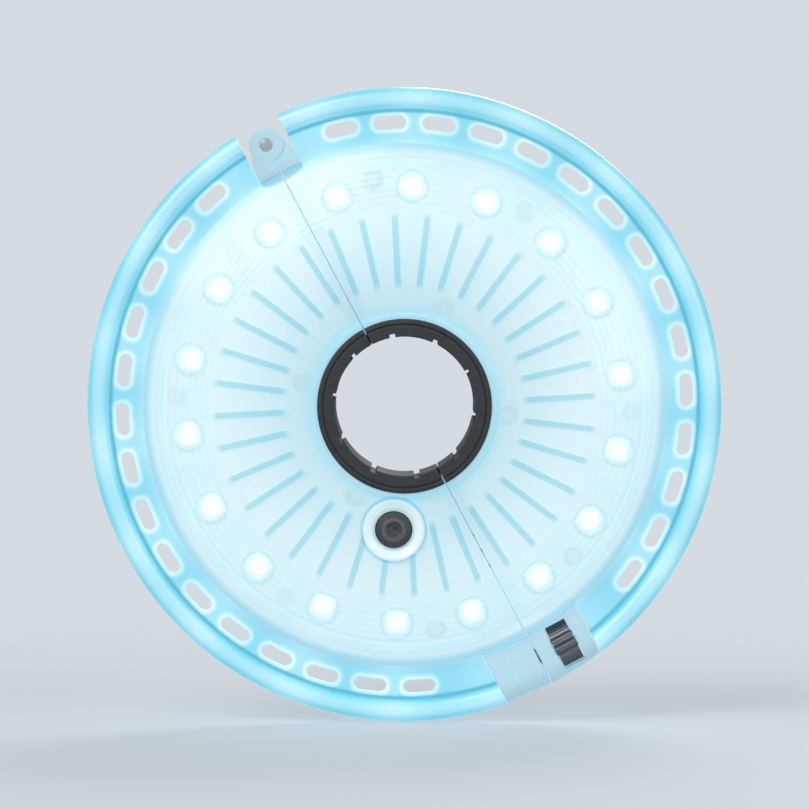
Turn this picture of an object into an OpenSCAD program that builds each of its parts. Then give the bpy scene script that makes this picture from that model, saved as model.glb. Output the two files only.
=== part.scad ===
// Disc light for a spoked bicycle wheel. Two hinged halves close round the hub shell
// between the spokes, and a thumb wheel at the rim draws them together.
// Everything is drawn lying flat, front face up, with the parting line along Y and the
// first half at -X. in_row_frame() then stands the disc up with its front towards -Y.

/* [Disc] */
// Outside diameter over the rim bead
disc_d = 147; // [143:1:160]
// Diameter of the hub shell that the light clamps round
hub_d = 32; // [28:0.5:33]
// Depth over the two shells, along the axle
body_depth = 23; // [22.5:0.5:26]
// Lean of the parting line, anticlockwise from upright
split_lean = 28; // [0:1:45]
// Gap between the closed halves
split_gap = 0.4; // [0.2:0.1:0.6]
// Wall thickness of the lens and the rear shell
wall = 2; // [1.6:0.1:2.3]
// Running clearance between pieces that pass each other
clearance = 0.3; // [0.2:0.05:0.4]

/* [Slotted rim] */
// Thickness of the rim plate
plate_t = 3.6; // [3:0.1:4]
// Diameter of the round bead on the rim's edge
bead_d = 5.2; // [4.4:0.1:6]
// Slot positions in a full turn
slot_positions = 36; // [30:2:40]
// Length of a slot, along the rim
slot_l = 7.6; // [5:0.1:8]
// Width of a slot, across the rim
slot_w = 3.2; // [2.6:0.1:3.6]
// Plain land between the slots and the bead
slot_land = 1.3; // [1:0.1:2]
// Plain land between the lens and the slots
lens_land = 3.3; // [2.5:0.1:4]
// Width of rim plate tucked between lens and shell
plate_tuck = 5; // [4.6:0.1:6]

/* [Lens] */
// Radius at which the dome is highest
crown_r = 30; // [28:1:36]
// Drop of the crown below the hub collar
crown_drop = 0.5; // [0.3:0.1:1]
// Height of the lens edge above the rim plate
lens_edge_h = 1.7; // [1.5:0.1:2.4]
// Width of the raised collar round the hub
collar_w = 2.5; // [2.3:0.1:3]
// Height of the lens collar above its seat on the shell
collar_h = 2.5; // [2.3:0.1:3]
// Number of radial light ribs on each half
rib_count = 18; // [12:1:20]
// Height of the light ribs
rib_h = 0.5; // [0.3:0.1:0.8]
// Width of the light ribs
rib_w = 1.3; // [0.8:0.1:1.6]
// Radial length of the light ribs
rib_l = 9; // [6:0.5:10]
// Radius of the little lens over each LED
lenslet_r = 3.6; // [3:0.1:4]
// Rise of the little lens over each LED
lenslet_h = 1.1; // [0.8:0.1:1.5]

/* [Rear shell] */
// Radius of the rounded back edge
back_edge_r = 14.5; // [12:0.5:16]
// Depth of the flutes and rings in the back
shoulder_flute_t = 0.5; // [0.3:0.1:0.7]
// Height of the ledges that grip the rim plate
ledge_h = 2.4; // [2:0.1:3]

/* [Hub pad] */
// Thickness of the rubber pad
pad_t = 2.5; // [2:0.1:3]
// Overhang of the pad's lips past the shell wall
lip_w = 1.6; // [1:0.1:1.9]
// Thickness of the pad's lips
lip_t = 1; // [0.8:0.1:1.4]
// Grip grooves on each pad
groove_count = 5; // [3:1:7]
// Width of a grip groove
groove_w = 1.4; // [1:0.1:1.8]
// Depth of a grip groove
groove_t = 0.8; // [0.4:0.1:1]

/* [Hinge] */
// Radius of the hinge pin
pin_r = 1.5; // [1.2:0.1:1.8]
// Radius of the hinge barrel
barrel_r = 4; // [3.6:0.1:4.4]
// Length of the hinge barrel
barrel_l = 12; // [11:0.5:13]
// Length of the middle knuckle
knuckle_l = 4.4; // [4:0.2:5]
// Width of each hinge arm beside the parting line
arm_w = 5; // [4.6:0.1:6]
// Distance from the barrel to the disc's edge
barrel_inset = 1.6; // [1.2:0.1:2.2]
// Radius of the crown over the hinge's two faces
hinge_crown = 10; // [9:0.5:14]

/* [Clamp] */
// Radius of the clamp stud
stud_r = 2; // [1.8:0.1:2.1]
// Stud length that screws into the first half
stud_reach = 5; // [4:0.5:5.5]
// Radius of the thumb wheel
wheel_r = 5; // [4.8:0.1:5.2]
// Width of the thumb wheel
wheel_w = 5; // [4:0.1:6]
// Grip flutes round the thumb wheel
flute_count = 16; // [14:1:20]
// Radius of a grip flute
flute_r = 0.6; // [0.4:0.05:0.7]
// Wall between the parting line and the thumb wheel
bearing_wall = 3.8; // [3.4:0.1:4.4]
// Wall behind the thumb wheel
back_wall = 3.4; // [3:0.1:4]
// Half of the clamp lugs' depth
lug_half = 4.2; // [4:0.1:4.5]
// Length of the plain clamp lug
lug_l = 11; // [10:0.5:12]
// Finger scallops on the plain clamp lug
grip_count = 3; // [2:1:3]
// Depth of a finger scallop
grip_t = 0.6; // [0.3:0.1:0.8]
// Outside radius of the brass insert
insert_r = 3.2; // [2.9:0.1:3.3]
// Length of the brass insert
insert_l = 7.4; // [6.5:0.1:8]
// Distance from the thumb wheel to the disc's edge
wheel_inset = 2.3; // [2:0.1:2.4]

/* [Electronics] */
// Thickness of the circuit boards
board_t = 1.6; // [1.2:0.1:1.8]
// Depth of the boards' front face behind the rim's mid plane
board_drop = 1.4; // [1:0.1:1.6]
// LEDs on each half
led_count = 9; // [7:1:10]
// Side of an LED
led_w = 5; // [4:0.1:5.2]
// Height of an LED
led_h = 1.6; // [1.2:0.1:2]
// Distance from the LED ring to the board's edge
led_inset = 4.4; // [4:0.1:6]
// Width of a battery cell, as a share of the room between hub wall and rim plate
cell_share = 0.57; // [0.45:0.01:0.58]
// Length of a battery cell, as a share of its width
cell_ratio = 1.7; // [1.4:0.05:1.75]
// Thickness of the foam under a battery cell
foam_t = 0.8; // [0.5:0.1:1.2]
// Margin of a battery cell round its foam
foam_inset = 3; // [2:0.5:4]
// Radius of a battery lead
lead_r = 0.7; // [0.5:0.05:0.8]
// Contacts between the halves
contact_count = 3; // [2:1:4]
// Distance between the contacts
contact_pitch = 4; // [3.4:0.1:4.4]
// Radius of a spring contact
contact_r = 0.9; // [0.7:0.05:1]

/* [Controls] */
// Angle of the button from the clamp end
button_angle = 33; // [32:1:38]
// Radius of the button cap
button_r = 4; // [3.5:0.1:4.3]
// Radius of the raised bezel round the button
bezel_r = 7.3; // [7:0.1:7.8]
// Rise of the bezel above the crown
bezel_h = 0.8; // [0.4:0.1:1]
// Depth of the dish in the button
dish_t = 0.7; // [0.4:0.1:0.8]
// Travel of the button
button_travel = 0.8; // [0.5:0.1:1]
// Side of the switch under the button
switch_w = 6; // [5:0.1:6.4]
// Height of the switch under the button
switch_h = 3.5; // [3.2:0.1:4]
// Radius of the switch's plunger
plunger_r = 1.75; // [1.4:0.05:2]
// Angle of the charging socket from the clamp end
port_angle = 28; // [26:1:30]
// Distance of the charging socket outside the board's middle
port_shift = 3.8; // [3:0.2:4.2]
// Width of the charging socket's shell
socket_w = 9; // [8.6:0.1:9.4]
// Height of the charging socket's shell
socket_h = 3.4; // [3.2:0.1:3.6]
// Width of the charging cap
cap_w = 14; // [13:0.5:15]
// Height of the charging cap
cap_h = 9; // [8:0.5:9.5]
// Radius of the charging cap's corners
cap_corner = 2; // [1:0.1:2.4]
// Thickness of the charging cap
cap_t = 1.4; // [1.2:0.1:1.6]

/* [Fasteners and seals] */
// Radius of a shell screw's shank
screw_r = 1; // [0.9:0.05:1.1]
// Radius of a shell screw's head
head_r = 1.9; // [1.7:0.1:2]
// Height of a shell screw's head
head_h = 1.4; // [1.2:0.1:1.6]
// Bite of a shell screw in the lens, above the rim plate
screw_bite = 1.3; // [1:0.1:1.6]
// Wall round a screw in its boss
boss_wall = 1; // [0.8:0.1:1.2]
// Width of the seals
seal_w = 1.4; // [1:0.1:1.5]
// Height of the seals
seal_h = 0.8; // [0.6:0.1:1]

/* [Hidden] */
$fn = 96;
eps = 0.01;
far = 200;
// Colours
lens_colour = [0.78, 0.95, 1];
shell_colour = [0.9, 0.95, 0.97];
rim_colour = [0.6, 0.9, 1];
rubber_colour = [0.08, 0.09, 0.1];
steel_colour = [0.7, 0.72, 0.74];
brass_colour = [0.8, 0.65, 0.3];
// Radii, from the axle outwards
hub_r = hub_d / 2;
inner_r = hub_r + pad_t;
chamber_in = inner_r + wall;
disc_r = disc_d / 2;
bead_r = bead_d / 2;
bead_c = disc_r - bead_r;
slot_c = bead_c - bead_r - slot_land - slot_w / 2;
lens_r = slot_c - slot_w / 2 - lens_land;
plate_in = lens_r - plate_tuck;
ledge_in = plate_in + clearance;
seal_c = (ledge_in + lens_r) / 2 - clearance;
inner_seal_c = (inner_r + chamber_in) / 2;
inner_seal_w = wall / 2;
// Levels, from the rim's mid plane
half_depth = body_depth / 2;
plate_top = plate_t / 2;
crown_z = half_depth - crown_drop;
seat_z = half_depth - collar_h;
floor_z = wall - half_depth;
board_top = -board_drop;
board_under = board_top - board_t;
inset = split_gap / 2;
// Dome: one arc from the crown down to the lens edge
dome_drop = crown_z - plate_top - lens_edge_h;
dome_run = lens_r - crown_r;
dome_r = (dome_run * dome_run + dome_drop * dome_drop) / (2 * dome_drop);
dome_z = crown_z - dome_r;
back_c = lens_r - back_edge_r;
// Boards, LEDs and cells
board_in = chamber_in + 2;
board_out = plate_in - 2 * clearance;
led_c = board_out - led_inset;
board_mid = (board_in + board_out) / 2;
cell_w = cell_share * (plate_in - chamber_in);
cell_l = cell_ratio * cell_w;
cell_c = (chamber_in + plate_in) / 2 - cell_w / 10;
cell_top = board_under - clearance;
cell_under = floor_z + foam_t;
rib_c = (inner_r + collar_w + led_c) / 2;
led_step = 180 / led_count;
// Screws: four at the rim and two at the hub on each half
shell_boss_r = head_r + clearance + boss_wall;
lens_boss_r = screw_r + 1.6 * boss_wall;
screw_out = plate_in - clearance - lens_boss_r;
screw_in = chamber_in + shell_boss_r + clearance;
head_seat = floor_z + wall / 2;
screw_l = plate_top + screw_bite - head_seat;
screw_places = [
    [screw_out, led_step], [screw_out, 3 * led_step],
    [screw_out, 180 - 3 * led_step], [screw_out, 180 - led_step],
    [screw_in, 56], [screw_in, 130]
];
// Slots: every position that stays clear of the hinge and the clamp
slot_step = 360 / slot_positions;
slot_first = 2.5 * slot_step;
slot_last = 180 - 1.5 * slot_step;
slot_turn = (slot_l - slot_w) / slot_c * 180 / PI;
// Hinge and clamp
hinge_c = disc_r - barrel_inset - barrel_r;
stud_c = disc_r - wheel_inset - wheel_r;
window_l = wheel_w + 2 * clearance;
window_x = inset + bearing_wall;
wheel_lug_l = bearing_wall + window_l + back_wall;
lug_r = disc_r - clearance;
grip_r = 0.4 * lug_l / (grip_count + 1) + grip_t;
stud_fit = 0.15;
stud_tip = -inset - stud_reach;
insert_x = -inset - insert_l - stud_fit;
journal = 2.2;
// Button stack, from the crown down to the switch
button_c = collar_w + inner_r + bezel_r + clearance;
bezel_top = crown_z + bezel_h;
bezel_under = crown_z - wall - 0.6;
button_flange = button_r + 1.6;
flange_t = wall / 2;
flange_top = bezel_under - seal_h;
switch_top = board_top + switch_h;
stem_end = (switch_top + flange_top - flange_t) / 2;
plunger_fit = clearance / 3;
plunger_in = switch_h - button_travel - plunger_fit - 1.6;
// Charging socket and its cap
socket_wall = 0.35;
port_floor = -half_depth + cap_t + clearance;
socket_end = port_floor + wall / 4;
socket_open_t = 0.8 * (board_under - socket_end);
port_c = board_mid + port_shift;
tongue_t = 0.9;
tongue_fit = 0.45;
cap_barrel_r = cap_t / 2;
cap_barrel_l = cap_w / 2;
cap_pin_r = 0.4;
cap_pin_l = cap_barrel_l + 4;
cap_axis = cap_h / 2 + 1.6;
cap_axis_z = -half_depth + cap_barrel_r;
port_boss = port_floor + wall * 0.8;
// Contacts
contact_c = board_mid;
contact_z = board_under - 3;
block_t = 3.4;
contact_gap = 0.1;
pad_r = contact_r + 0.5;

echo(hinge_row = [-hinge_c * sin(split_lean), 0, hinge_c * cos(split_lean)],
     stud_row = [stud_c * sin(split_lean), 0, -stud_c * cos(split_lean)],
     stud_axis = [cos(split_lean), 0, sin(split_lean)],
     cap_hinge_row = cap_hinge_row());

// Where the charging cap turns, in the row frame
function cap_hinge_row() =
    let (r = port_c - cap_axis, a = port_angle - split_lean)
    [-r * sin(a), -cap_axis_z, -r * cos(a)];

// Placing

module in_row_frame() {
    rotate([90, 0, 0]) rotate([0, 0, split_lean]) children();
}

module mirrored() {
    mirror([1, 0, 0]) children();
}

// Keeps what lies on the first half's side, at least gap away from the parting plane
module first_half(gap) {
    intersection() {
        children();
        translate([-far - gap, -far / 2, -far / 2]) cube([far, far, far]);
    }
}

// A place on the first half: r from the axle, turned by an angle from the clamp end
module at(r, angle) {
    rotate([0, 0, -angle]) translate([0, -r, 0]) children();
}

module at_screws() {
    for (place = screw_places) at(place[0], place[1]) children();
}

module at_leds() {
    for (i = [0 : led_count - 1]) at(led_c, (i + 0.5) * led_step) children();
}

module post(r, low, high) {
    translate([0, 0, low]) cylinder(r = r, h = high - low);
}

module band(r_in, r_out, low, high) {
    rotate_extrude() translate([r_in, low]) square([r_out - r_in, high - low]);
}

// Front lens

module dome_section(thinner) {
    intersection() {
        translate([crown_r, dome_z]) circle(r = dome_r - thinner, $fn = 256);
        translate([inner_r, plate_top]) square([lens_r - inner_r, half_depth]);
    }
}

module lens_section() {
    intersection() {
        dome_section(0);
        union() {
            translate([chamber_in, plate_top]) square([lens_r - chamber_in, half_depth]);
            translate([inner_r, seat_z]) square([lens_r - inner_r, half_depth]);
        }
    }
    translate([inner_r, seat_z]) square([collar_w, collar_h]);
}

module lens_cavity_section() {
    difference() {
        intersection() {
            translate([crown_r, dome_z]) circle(r = dome_r - wall, $fn = 256);
            translate([chamber_in, 0]) square([lens_r - chamber_in, half_depth]);
        }
        translate([ledge_in, 0]) square([lens_r, plate_top + ledge_h]);
    }
}

module light_ribs() {
    intersection() {
        rotate_extrude() dome_section(-rib_h);
        for (i = [0 : rib_count - 1])
            at(rib_c, (i + 0.5) * 180 / rib_count)
                translate([-rib_w / 2, -rib_l - rib_w, 0]) cube([rib_w, 2 * (rib_l + rib_w), half_depth]);
        band(rib_c - rib_l, rib_c + rib_l, seat_z - wall, half_depth);
    }
}

module lenslets() {
    ball_r = (lenslet_r * lenslet_r + lenslet_h * lenslet_h) / (2 * lenslet_h);
    led_run = led_c - crown_r;
    surface_z = dome_z + sqrt(dome_r * dome_r - led_run * led_run);
    tilt = asin(led_run / dome_r);
    difference() {
        at_leds() translate([0, 0, surface_z]) rotate([tilt, 0, 0])
            translate([0, 0, lenslet_h - ball_r]) sphere(r = ball_r);
        rotate_extrude() dome_section(wall / 2);
        translate([0, 0, -far]) cylinder(r = far, h = far + plate_top + ledge_h);
    }
}

module lens_half() {
    difference() {
        union() {
            first_half(inset) rotate_extrude() lens_section();
            light_ribs();
            first_half(inset) lenslets();
        }
        difference() {
            first_half(inset + wall) rotate_extrude() lens_cavity_section();
            at_screws() post(lens_boss_r, -1, half_depth);
        }
        band(seal_c - seal_w / 2, seal_c + seal_w / 2, 0, plate_top + seal_h);
        band(inner_seal_c - inner_seal_w / 2, inner_seal_c + inner_seal_w / 2, 0, seat_z + seal_h);
        at_screws() post(screw_r + eps, 0, head_seat + screw_l + clearance);
    }
    at_screws() difference() {
        post(lens_boss_r, board_top, plate_top + eps);
        post(screw_r + eps, board_top - 1, plate_top + 1);
    }
}

module front_lens_a() {
    color(lens_colour) in_row_frame() difference() {
        union() {
            lens_half();
            at(button_c, button_angle) post(bezel_r, bezel_under, bezel_top);
        }
        at(button_c, button_angle) {
            post(bezel_r, plate_top, bezel_under);
            post(button_r + clearance, bezel_under - 1, bezel_top + 1);
            translate([0, 0, crown_z - bezel_h])
                cylinder(r1 = button_r + clearance, r2 = bezel_r - bezel_h, h = 2 * bezel_h + eps);
        }
    }
}

module front_lens_b() {
    color(lens_colour) in_row_frame() mirrored() lens_half();
}

// Rear shell

module back_section(thinner) {
    low = thinner - half_depth;
    translate([inner_r, low]) square([back_c - inner_r, half_depth - plate_top - thinner]);
    intersection() {
        translate([back_c, back_edge_r - half_depth]) circle(r = back_edge_r - thinner);
        translate([back_c - eps, low]) square([lens_r, half_depth - plate_top - thinner]);
    }
}

// Flutes over the back's round shoulder, one behind each rib of the lens
module shoulder_flutes() {
    difference() {
        for (i = [0 : rib_count - 1])
            at(back_c + shoulder_flute_t, (i + 0.5) * 180 / rib_count)
                translate([-rib_w / 2, ledge_h - back_edge_r, -half_depth - 1])
                    cube([rib_w, back_edge_r - 2 * ledge_h, half_depth - plate_top]);
        rotate_extrude() back_section(shoulder_flute_t);
    }
}

// Two rings cut into the flat of the back
module back_rings_section() {
    for (share = [0.4, 0.5])
        translate([inner_r + share * (back_c - inner_r), -half_depth]) circle(r = shoulder_flute_t);
}

module shell_section() {
    difference() {
        back_section(0);
        back_rings_section();
    }
    translate([inner_r, -half_depth]) square([wall, half_depth + seat_z]);
    translate([ledge_in, -plate_top - ledge_h]) square([lens_r - ledge_in, ledge_h]);
}

module shell_cavity_section() {
    difference() {
        union() {
            intersection() {
                back_section(wall);
                translate([chamber_in, -half_depth]) square([lens_r, half_depth]);
            }
            translate([chamber_in, -plate_top - eps])
                square([ledge_in - chamber_in, half_depth + plate_top]);
        }
        translate([ledge_in, -plate_top - ledge_h]) square([lens_r, half_depth]);
    }
}

// A hinge arm's outline made solid, kept below the lens edge where it passes under it
module lug(low, high) {
    difference() {
        translate([0, 0, low]) linear_extrude(high - low) intersection() {
            circle(r = lug_r);
            children();
        }
        post(lens_r + clearance, plate_top, half_depth);
        post(ledge_in, -half_depth, half_depth);
    }
}

// Both faces of the hinge are crowned across the parting line
module hinge_arm(own_knuckle) {
    intersection() {
        plain_hinge_arm(own_knuckle);
        hinge_crown_bar(1);
        hinge_crown_bar(-1);
    }
}

module hinge_crown_bar(side) {
    translate([0, ledge_in - 1, side * (hinge_crown - barrel_l / 2)]) rotate([-90, 0, 0])
        cylinder(r = hinge_crown, h = disc_r - ledge_in + 2);
}

module plain_hinge_arm(own_knuckle) {
    reach = hinge_c - ledge_in + arm_w;
    difference() {
        lug(-barrel_l / 2, barrel_l / 2) polygon([[-inset, hinge_c - reach], [-inset - arm_w, hinge_c - reach],
            [-inset - arm_w, hinge_c - barrel_r], [-barrel_r, hinge_c], [-inset, hinge_c]]);
        translate([0, hinge_c, 0]) knuckle_space(own_knuckle);
    }
    translate([0, hinge_c, 0]) intersection() {
        post(barrel_r, -barrel_l / 2, barrel_l / 2);
        knuckle_levels(own_knuckle, 0);
    }
}

// Levels of the middle knuckle, or of the two outer ones
module knuckle_levels(middle, spare) {
    side = 4 * barrel_r;
    half = knuckle_l / 2 + (middle ? spare : clearance - spare);
    difference() {
        translate([-side, -side, -barrel_l]) cube([2 * side, 2 * side, 2 * barrel_l]);
        if (middle) {
            translate([-side, -side, half]) cube([2 * side, 2 * side, barrel_l]);
            translate([-side, -side, -half - barrel_l]) cube([2 * side, 2 * side, barrel_l]);
        } else
            translate([-side, -side, -half]) cube([2 * side, 2 * side, 2 * half]);
    }
}

// Room for the other half's knuckles to turn in
module knuckle_space(own_middle) {
    intersection() {
        post(barrel_r + clearance, -barrel_l, barrel_l);
        knuckle_levels(!own_middle, clearance);
    }
}

// Thick round-edged band that the clamp lugs are cut from
module lug_band() {
    rotate_extrude() {
        translate([ledge_in, -lug_half]) square([lug_r - lug_half - ledge_in, 2 * lug_half]);
        translate([lug_r - lug_half, 0]) circle(r = lug_half);
    }
}

module clamp_lug(length, grips) {
    difference() {
        intersection() {
            lug_band();
            translate([-inset - length, -disc_r, -half_depth])
                cube([length, disc_r - ledge_in + wall, body_depth]);
        }
        post(lens_r + clearance, plate_top, half_depth);
        for (i = [1 : 1 : grips])
            at(lug_r + grip_r - grip_t, asin((inset + length * i / (grips + 1)) / lug_r))
                post(grip_r, -half_depth, half_depth);
    }
}

module shell_end_walls() {
    intersection() {
        translate([-inset - wall, -far / 2, 0]) cube([wall, far, far]);
        band(chamber_in - wall / 2, lens_r, -plate_top - eps, plate_top);
    }
}

module shell_half(own_knuckle, lug_length, has_port) {
    difference() {
        union() {
            first_half(inset) rotate_extrude() shell_section();
            shell_end_walls();
            hinge_arm(own_knuckle);
            clamp_lug(lug_length, has_port ? grip_count : 0);
        }
        difference() {
            first_half(inset + wall) rotate_extrude() shell_cavity_section();
            at_screws() post(shell_boss_r, -half_depth, board_under);
            if (has_port) at(port_c, port_angle) port_pad();
        }
        shoulder_flutes();
        at_screws() {
            post(screw_r + clearance, -half_depth, board_under + 1);
            post(head_r + clearance, -half_depth - 1, head_seat);
        }
        band(seal_c - seal_w / 2, seal_c + seal_w / 2, -plate_top - seal_h, -plate_top + eps);
    }
}

module pin_hole(fit) {
    translate([0, hinge_c, 0]) post(pin_r + fit, -barrel_l, barrel_l);
}

// Cylinder along the clamp axis, from one X to another
module along_stud(r, from, to) {
    translate([from, -stud_c, 0]) rotate([0, 90, 0]) cylinder(r = r, h = to - from);
}

module contact_holes(r) {
    for (i = [0 : contact_count - 1])
        translate([-inset - wall - 1, -contact_c + (i - (contact_count - 1) / 2) * contact_pitch, contact_z])
            rotate([0, 90, 0]) cylinder(r = r, h = wall + 2);
}

module rear_shell_a() {
    color(shell_colour) in_row_frame() difference() {
        shell_half(false, lug_l, true);
        pin_hole(0);
        along_stud(insert_r, insert_x, 0);
        along_stud(stud_r + clearance, stud_tip - clearance - stud_fit, 0);
        contact_holes(contact_r + eps);
        at(port_c, port_angle) {
            port_recess();
            cap_pin_shape(eps);
        }
    }
}

module rear_shell_b() {
    color(shell_colour) in_row_frame() difference() {
        mirrored() shell_half(true, wheel_lug_l, false);
        pin_hole(0.05);
        along_stud(stud_r + stud_fit, -1, window_x + window_l + journal + stud_fit);
        translate([window_x, -stud_c - wheel_r - clearance, -half_depth])
            cube([window_l, 2 * (wheel_r + clearance), body_depth]);
        mirrored() contact_holes(pad_r + eps);
    }
}

// Thicker floor behind the charging socket
module port_pad() {
    translate([0, (cap_axis - cap_h / 2) / 2, 0])
        centred_box(cap_w + 2 * wall, cap_axis + cap_h / 2 + 2 * wall, -half_depth, port_boss);
}

// Room for the cap, its hinge barrel and the socket
module port_recess() {
    barrel_room = cap_axis + cap_barrel_r + clearance;
    rounded_box(cap_w + 2 * clearance, cap_h + 2 * clearance, cap_corner + clearance,
                -half_depth - 1, port_floor);
    translate([0, barrel_room / 2, 0])
        centred_box(cap_barrel_l + 2 * clearance, barrel_room, -half_depth - 1, port_floor);
    stadium(socket_w + 2 * eps, socket_h + 2 * eps, -half_depth, port_boss + 1);
}

module cap_pin_shape(fit) {
    translate([-cap_pin_l / 2 - fit, cap_axis, cap_axis_z]) rotate([0, 90, 0])
        cylinder(r = cap_pin_r + fit, h = cap_pin_l + 2 * fit);
}

module centred_box(w, h, low, high) {
    translate([-w / 2, -h / 2, low]) cube([w, h, high - low]);
}

module rounded_box(w, h, r, low, high) {
    centred_box(w - 2 * r, h, low, high);
    centred_box(w, h - 2 * r, low, high);
    for (x = [-1, 1], y = [-1, 1])
        translate([x * (w / 2 - r), y * (h / 2 - r), 0]) post(r, low, high);
}

// Box with fully round ends
module stadium(w, h, low, high) {
    centred_box(w - h, h, low, high);
    for (side = [-1, 1]) translate([side * (w - h) / 2, 0, 0]) post(h / 2, low, high);
}

// Slotted rim plate

module slot() {
    translate([0, 0, -plate_t]) {
        rotate([0, 0, -90 - slot_turn / 2]) rotate_extrude(angle = slot_turn)
            translate([slot_c - slot_w / 2, 0]) square([slot_w, 2 * plate_t]);
        for (side = [-1, 1])
            at(slot_c, side * slot_turn / 2) cylinder(r = slot_w / 2, h = 2 * plate_t);
    }
}

module rim_half(lug_length) {
    difference() {
        first_half(inset) rotate_extrude() {
            translate([plate_in, -plate_top]) square([bead_c - plate_in, plate_t]);
            translate([bead_c, 0]) circle(r = bead_r);
        }
        for (angle = [slot_first : slot_step : slot_last + eps]) rotate([0, 0, -angle]) slot();
        translate([-inset - lug_length - clearance, -far, -far / 2])
            cube([lug_length + clearance + far, far, far]);
        translate([-inset - arm_w - clearance, 0, -far / 2]) cube([far, far, far]);
    }
}

module rim_plate_a() {
    color(rim_colour) in_row_frame() rim_half(lug_l);
}

module rim_plate_b() {
    color(rim_colour) in_row_frame() mirrored() rim_half(wheel_lug_l);
}

// Seals and hub pads

module seals_half() {
    first_half(inset + arm_w + 2 * clearance) {
        band(seal_c - seal_w / 2 + eps, seal_c + seal_w / 2 - eps, plate_top, plate_top + seal_h - eps);
        band(seal_c - seal_w / 2 + eps, seal_c + seal_w / 2 - eps, -plate_top - seal_h + eps, -plate_top);
    }
    first_half(inset)
        band(inner_seal_c - inner_seal_w / 2 + eps, inner_seal_c + inner_seal_w / 2 - eps,
             seat_z, seat_z + seal_h - eps);
}

module lens_seals_a() {
    color(rubber_colour) in_row_frame() seals_half();
}

module lens_seals_b() {
    color(rubber_colour) in_row_frame() mirrored() seals_half();
}

// Lip with a round outer edge and two rings cut into its face
module pad_lip(side) {
    lip_r = hub_r + pad_t + lip_w;
    difference() {
        union() {
            translate([hub_r, side > 0 ? half_depth : -half_depth - lip_t]) square([lip_r - lip_t - hub_r, lip_t]);
            intersection() {
                translate([lip_r - lip_t, side * half_depth]) circle(r = lip_t);
                translate([lip_r - lip_t - eps, side > 0 ? half_depth : -half_depth - lip_t])
                    square([2 * lip_t, lip_t]);
            }
        }
        for (share = [0.36, 0.66])
            translate([hub_r + share * (pad_t + lip_w), side * (half_depth + lip_t)]) circle(r = 0.35 * lip_t);
    }
}

module pad_half() {
    first_half(inset) difference() {
        rotate_extrude() {
            translate([hub_r, -half_depth - lip_t]) square([pad_t - eps, body_depth + 2 * lip_t]);
            for (side = [-1, 1]) pad_lip(side);
        }
        for (i = [0 : groove_count - 1])
            at(hub_r, (i + 0.5) * 180 / groove_count)
                centred_box(groove_w, 2 * groove_t, -body_depth, body_depth);
    }
}

module hub_pad_a() {
    color(rubber_colour) in_row_frame() pad_half();
}

module hub_pad_b() {
    color(rubber_colour) in_row_frame() mirrored() pad_half();
}

// Boards, LEDs and cells

module board_half() {
    difference() {
        first_half(inset + wall + clearance) band(board_in, board_out, board_under, board_top);
        at_screws() post(screw_r + clearance, board_under - 1, board_top + 1);
    }
}

module led_board_a() {
    color("white") in_row_frame() board_half();
}

module led_board_b() {
    color("white") in_row_frame() mirrored() board_half();
}

module led_group() {
    at_leds() difference() {
        centred_box(led_w, led_w, board_top, board_top + led_h);
        post(0.4 * led_w, board_top + 0.7 * led_h, board_top + 2 * led_h);
    }
}

module leds_a() {
    color([1, 0.97, 0.85]) in_row_frame() led_group();
}

module leds_b() {
    color([1, 0.97, 0.85]) in_row_frame() mirrored() led_group();
}

module cell() {
    rotate([0, 0, -90]) translate([0, -cell_c, 0])
        centred_box(cell_l, cell_w, cell_under, cell_top);
}

module cell_foam() {
    rotate([0, 0, -90]) translate([0, -cell_c, 0])
        centred_box(cell_l - 2 * foam_inset, cell_w - 2 * foam_inset, floor_z, cell_under);
}

// Two leads: straight out of the cell's end, then up to the board
module cell_leads() {
    bend_r = 2 * lead_r;
    lead_z = board_under - bend_r - 1;
    for (side = [-1, 1])
        translate([-cell_c + side * cell_w / 4, cell_l / 2, lead_z]) {
            rotate([-90, 0, 0]) cylinder(r = lead_r, h = 2);
            translate([0, 2, bend_r]) rotate([0, 90, 0]) rotate_extrude(angle = 90)
                translate([bend_r, 0]) circle(r = lead_r);
            translate([0, 2 + bend_r, bend_r]) cylinder(r = lead_r, h = 1);
        }
}

module battery_cell_a() {
    color("silver") in_row_frame() cell();
}

module battery_cell_b() {
    color("silver") in_row_frame() mirrored() cell();
}

module battery_foam_a() {
    color("dimgray") in_row_frame() cell_foam();
}

module battery_foam_b() {
    color("dimgray") in_row_frame() mirrored() cell_foam();
}

module battery_leads_a() {
    color("firebrick") in_row_frame() cell_leads();
}

module battery_leads_b() {
    color("firebrick") in_row_frame() mirrored() cell_leads();
}

module screw_group() {
    at_screws() difference() {
        union() {
            post(head_r, head_seat - head_h, head_seat);
            post(screw_r, head_seat - eps, head_seat + screw_l);
        }
        translate([0, 0, head_seat - head_h - 1]) cylinder(r = head_r / 2, h = 1 + head_h / 2, $fn = 6);
    }
}

module shell_screws_a() {
    color(steel_colour) in_row_frame() screw_group();
}

module shell_screws_b() {
    color(steel_colour) in_row_frame() mirrored() screw_group();
}

// Small components on the first board

module controller_chip() {
    chip_w = 5;
    chip_h = 1.2;
    color([0.1, 0.1, 0.11]) in_row_frame() at(board_mid - chip_w, 40)
        centred_box(chip_w, chip_w, board_under - chip_h, board_under);
}

module motion_switch() {
    can_r = 1.8;
    can_l = 8;
    color("goldenrod") in_row_frame() at(board_mid, 150) {
        translate([-can_l / 2, 0, board_under - can_r]) rotate([0, 90, 0]) cylinder(r = can_r, h = can_l);
        for (side = [-1, 1])
            translate([side * can_l / 4, 0, 0]) centred_box(1, 1, board_under - can_r, board_under);
    }
}

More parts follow.
